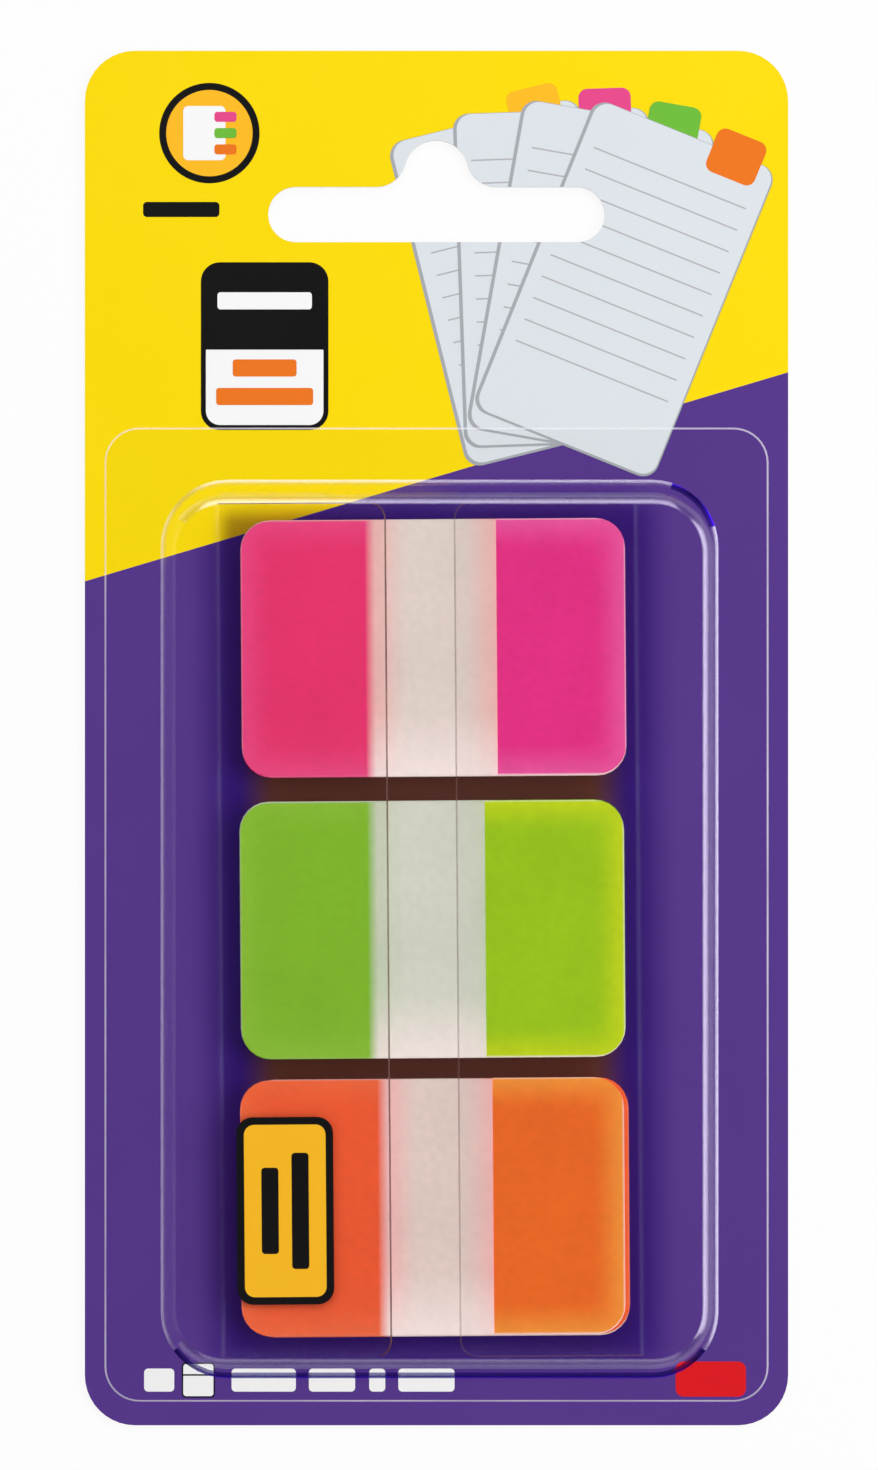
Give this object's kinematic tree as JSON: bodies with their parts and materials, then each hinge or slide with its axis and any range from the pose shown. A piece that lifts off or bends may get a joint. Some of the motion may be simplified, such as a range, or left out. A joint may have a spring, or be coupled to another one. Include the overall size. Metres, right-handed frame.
{
  "type": "carded pack of sticky index tabs",
  "caption": "Clear blister sealed to a printed hang-slot card, holding a folded film sleeve with stacked pads of sticky index tabs in pink, green and orange.",
  "frame": {"origin": "middle of the card's back, which lies on the surface", "axes": "+Z out of the printed face, +Y towards the hang slot, +X to the right of the print"},
  "size_m": [0.07, 0.1368, 0.0091],
  "materials": {
    "printed_card": "printed and varnished on the front, bare board on the back and edges",
    "blister_film": "clear and glossy",
    "sleeve_film": "clear, a little hazy",
    "tab_pink": "satin film, coloured at one end and frosted clear at the other",
    "tab_green": "satin film, coloured at one end and frosted clear at the other",
    "tab_orange": "satin film, coloured at one end and frosted clear at the other"
  },
  "bodies": {
    "root": {"backing_card": "printed_card", "blister": "blister_film", "dispenser_sleeve": "sleeve_film", "tab_pink_01": "tab_pink", "tab_pink_02": "tab_pink", "tab_pink_03": "tab_pink", "tab_pink_04": "tab_pink", "tab_pink_05": "tab_pink", "tab_pink_06": "tab_pink", "tab_pink_07": "tab_pink", "tab_pink_08": "tab_pink", "tab_pink_09": "tab_pink", "tab_pink_10": "tab_pink", "tab_pink_11": "tab_pink", "tab_pink_12": "tab_pink", "tab_green_01": "tab_green", "tab_green_02": "tab_green", "tab_green_03": "tab_green", "tab_green_04": "tab_green", "tab_green_05": "tab_green", "tab_green_06": "tab_green", "tab_green_07": "tab_green", "tab_green_08": "tab_green", "tab_green_09": "tab_green", "tab_green_10": "tab_green", "tab_green_11": "tab_green", "tab_green_12": "tab_green", "tab_orange_01": "tab_orange", "tab_orange_02": "tab_orange", "tab_orange_03": "tab_orange", "tab_orange_04": "tab_orange", "tab_orange_05": "tab_orange", "tab_orange_06": "tab_orange", "tab_orange_07": "tab_orange", "tab_orange_08": "tab_orange", "tab_orange_09": "tab_orange", "tab_orange_10": "tab_orange", "tab_orange_11": "tab_orange", "tab_orange_12": "tab_orange"}
  },
  "joints": []
}
